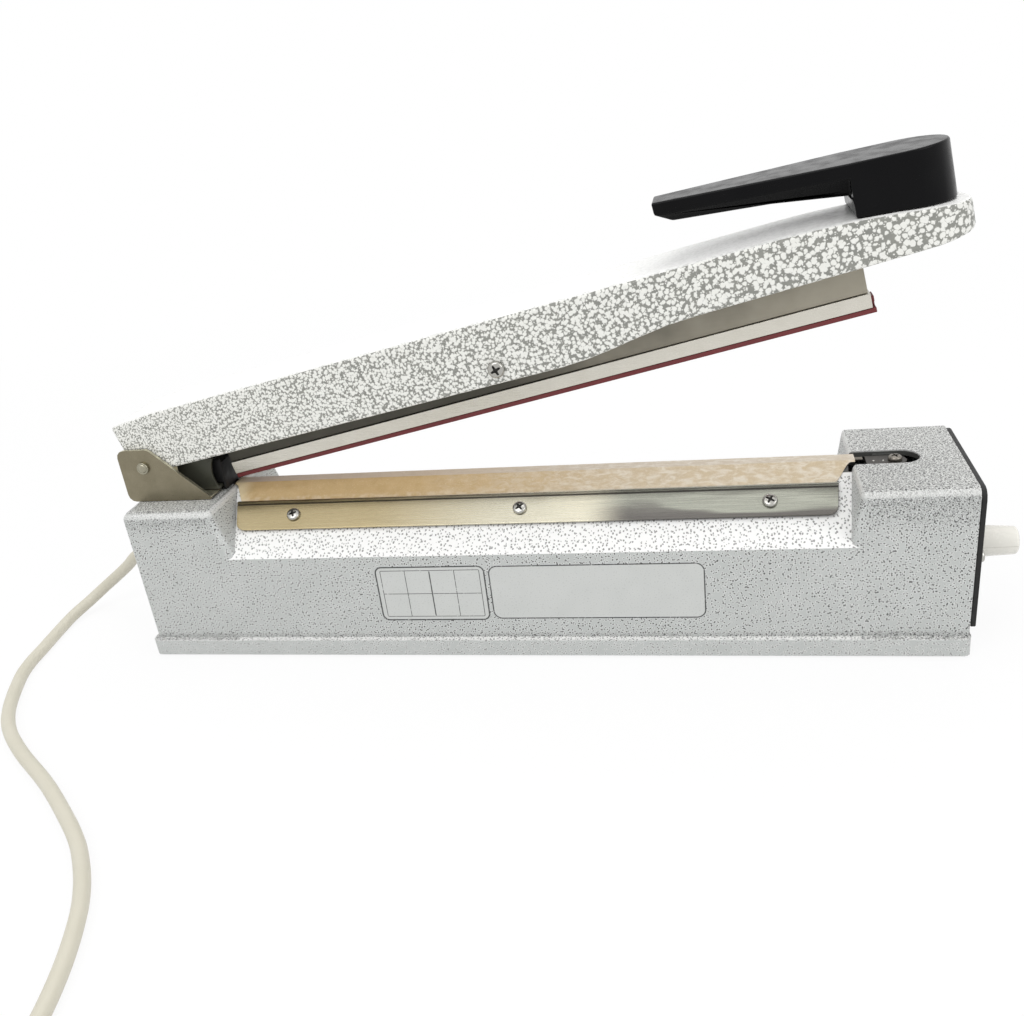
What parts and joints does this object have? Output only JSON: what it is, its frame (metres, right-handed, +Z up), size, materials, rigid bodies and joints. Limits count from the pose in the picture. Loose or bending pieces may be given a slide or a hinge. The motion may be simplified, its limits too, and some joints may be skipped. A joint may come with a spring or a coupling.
{
  "type": "heat sealer",
  "caption": "Bench heat sealer: cast body with a sealing bed, hinged pressing arm with a black handle, timer knob on the end and a mains cord.",
  "frame": {"origin": "under the middle of the machine without its cord, on the surface that it stands on", "axes": "+X towards the timer knob, +Y to the back, +Z up"},
  "size_m": [0.519, 0.4507, 0.2257],
  "materials": {
    "body_paint": "light grey hammertone stove enamel",
    "arm_paint": "white hammertone enamel with grey veins",
    "end_plate_black": "matte black",
    "black_plastic": "satin black",
    "handle_black": "glossy black",
    "cream_plastic": "glossy cream",
    "cord_cream": "soft cream sheath",
    "plated_steel": "zinc plated, olive tinge",
    "polished_steel": "polished",
    "screws": "nickel plated",
    "springs": "spring wire",
    "channel_steel": "brown-grey plated",
    "plain_steel": "plain sheet",
    "ribbon": "resistance ribbon",
    "bar_aluminium": "satin extrusion",
    "silicone": "matte red",
    "nonstick_cloth": "coated glass cloth, tan",
    "bed_tape": "white insulating strip",
    "circuit_board": "green laminate",
    "winding_tape": "yellow tape over copper winding",
    "rubber": "black rubber",
    "lamp_lens": "red lens"
  },
  "bodies": {
    "root": {"bed_strip": "bed_tape", "body_casting": "body_paint", "bottom_plate": "plain_steel", "bracket_screw_1": "screws", "bracket_screw_2": "screws", "cord_coil": "cord_cream", "end_plate": "end_plate_black", "end_plate_screw_1": "screws", "end_plate_screw_2": "screws", "foot_1": "rubber", "foot_2": "rubber", "foot_3": "rubber", "foot_4": "rubber", "foot_screw_1": "screws", "foot_screw_2": "screws", "foot_screw_3": "screws", "foot_screw_4": "screws", "front_clamp_strip": "polished_steel", "front_strip_screw_1": "screws", "front_strip_screw_2": "screws", "front_strip_screw_3": "screws", "fuse_holder": "black_plastic", "heating_ribbon": "ribbon", "hinge_bracket": "plated_steel", "hinge_pin": "screws", "left_terminal_block": "black_plastic", "lever_pin": "screws", "micro_switch": "black_plastic", "nonstick_cloth": "nonstick_cloth", "pilot_lamp": "lamp_lens", "plug": "cord_cream", "potentiometer_nut": "screws", "power_cord": "cord_cream", "rear_clamp_strip": "polished_steel", "rear_strip_screw_1": "screws", "rear_strip_screw_2": "screws", "rear_strip_screw_3": "screws", "return_spring": "springs", "spring_guide": "plated_steel", "strain_relief": "cord_cream", "switch_cover": "black_plastic", "tension_spring": "springs", "timer_board": "circuit_board", "timer_potentiometer": "plain_steel", "transformer_coil": "winding_tape", "transformer_core": "plain_steel"},
    "arm": {"arm_casting": "arm_paint", "handle": "handle_black", "handle_screw_1": "screws", "handle_screw_2": "screws", "bar_pivot_bolt": "screws", "bar_pivot_nut": "screws"},
    "bar": {"bar_channel": "channel_steel", "pressure_bar": "bar_aluminium", "silicone_strip": "silicone"},
    "plunger": {"switch_plunger": "cream_plastic"},
    "lever": {"tension_lever": "plated_steel", "ribbon_screw": "screws"},
    "knob": {"timer_knob": "cream_plastic", "potentiometer_shaft": "screws"}
  },
  "joints": [
    {"name": "arm_hinge", "type": "hinge", "parent": "root", "child": "arm", "pos_m": [-0.20778, 0, 0.1039], "axis": [0, 1, 0], "range_deg": [0, 10.5], "stiffness_Nm_per_rad": 4, "springref_deg": -40.11, "deforming": ["return_spring"]},
    {"name": "bar_rock", "type": "hinge", "parent": "arm", "child": "bar", "pos_m": [-0.01551, 0, 0.14503], "axis": [0, 1, 0], "range_deg": [0, 1.31]},
    {"name": "plunger_press", "type": "slide", "parent": "root", "child": "plunger", "axis": [0, 0, -1], "range_m": [0, 0.002]},
    {"name": "lever_tilt", "type": "hinge", "parent": "root", "child": "lever", "pos_m": [0.16022, 0, 0.0645], "axis": [0, 1, 0], "range_deg": [0, 3], "stiffness_Nm_per_rad": 0.5, "springref_deg": -2.86, "deforming": ["tension_spring"]},
    {"name": "knob_turn", "type": "hinge", "parent": "root", "child": "knob", "pos_m": [0.19682, 0, 0.0391], "axis": [1, 0, 0], "range_deg": [-140, 140]}
  ],
  "couplings": [
    {"joint": "bar_rock", "follows": "arm_hinge", "ratio": 0.1238},
    {"joint": "plunger_press", "follows": "arm_hinge", "m_per_rad": 0.010913}
  ]
}
